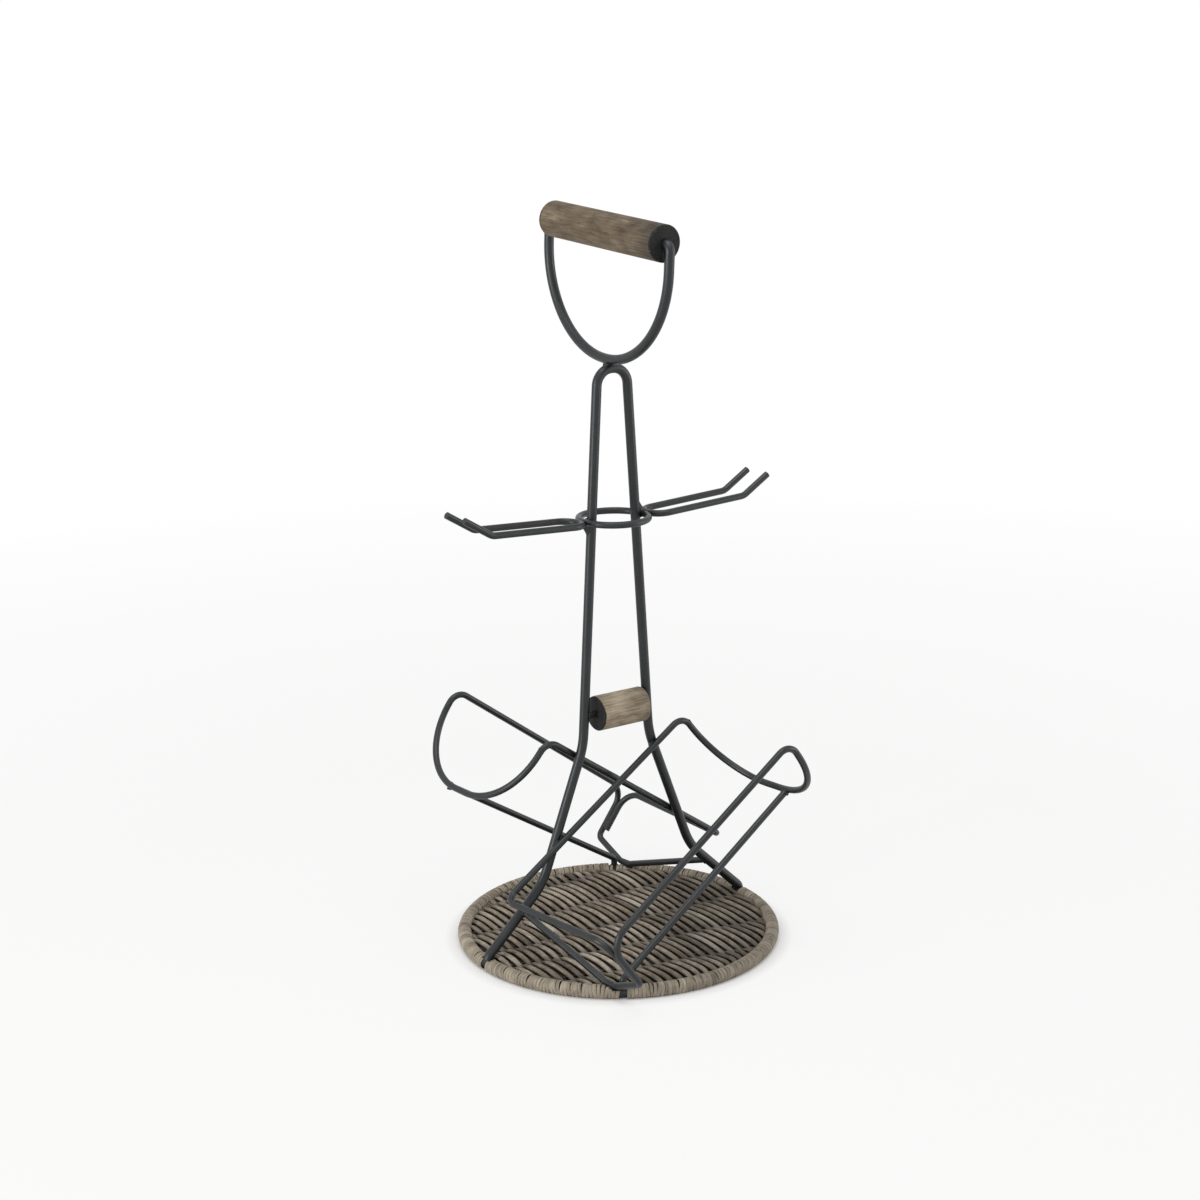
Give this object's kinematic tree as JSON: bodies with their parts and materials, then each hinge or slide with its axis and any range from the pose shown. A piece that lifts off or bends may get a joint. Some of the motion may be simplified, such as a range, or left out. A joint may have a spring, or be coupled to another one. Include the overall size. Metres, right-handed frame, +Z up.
{
  "type": "bottle caddy",
  "caption": "Carrying caddy of bent black wire on a round wicker base, with a wooden grip, slanted cradles for bottles and forked hangers for stemmed glasses.",
  "frame": {"origin": "middle of the round base, on the surface it stands on", "axes": "+Z up; the hairpin upright and the glass forks lie in the XZ plane; the front cradle is on the -Y side and leans up towards +X, and the rear cradle is its half turn about Z"},
  "size_m": [0.2062, 0.199, 0.419],
  "materials": {
    "black_steel": "black satin powder coat on round steel wire",
    "wicker": "grey-brown split rattan, matt, with darker gaps",
    "weathered_wood": "weathered grey-brown turned wood with dark stained ends"
  },
  "bodies": {
    "frame": {"base_hoop": "black_steel", "rim_wrap": "wicker", "woven_mat": "wicker", "upright": "black_steel", "handle_bow": "black_steel", "dowel_rod": "black_steel", "glass_ring": "black_steel", "glass_fork_left": "black_steel", "glass_fork_right": "black_steel", "cradle_rail_front": "black_steel", "cradle_rail_rear": "black_steel", "bottle_stop_front": "black_steel", "bottle_stop_rear": "black_steel", "heel_bar_front": "black_steel", "heel_bar_rear": "black_steel", "saddle_brace_front": "black_steel", "saddle_brace_rear": "black_steel"},
    "grip": {"handle_grip": "weathered_wood"},
    "dowel": {"lower_dowel": "weathered_wood"}
  },
  "joints": [
    {"name": "grip_spin", "type": "hinge", "parent": "frame", "child": "grip", "pos_m": [-0.0025, -0.00091, 0.40541], "axis": [0, 0.9976, 0.0698], "continuous": true},
    {"name": "dowel_spin", "type": "hinge", "parent": "frame", "child": "dowel", "pos_m": [0.0025, 0, 0.1362], "axis": [1, 0, 0], "continuous": true}
  ]
}
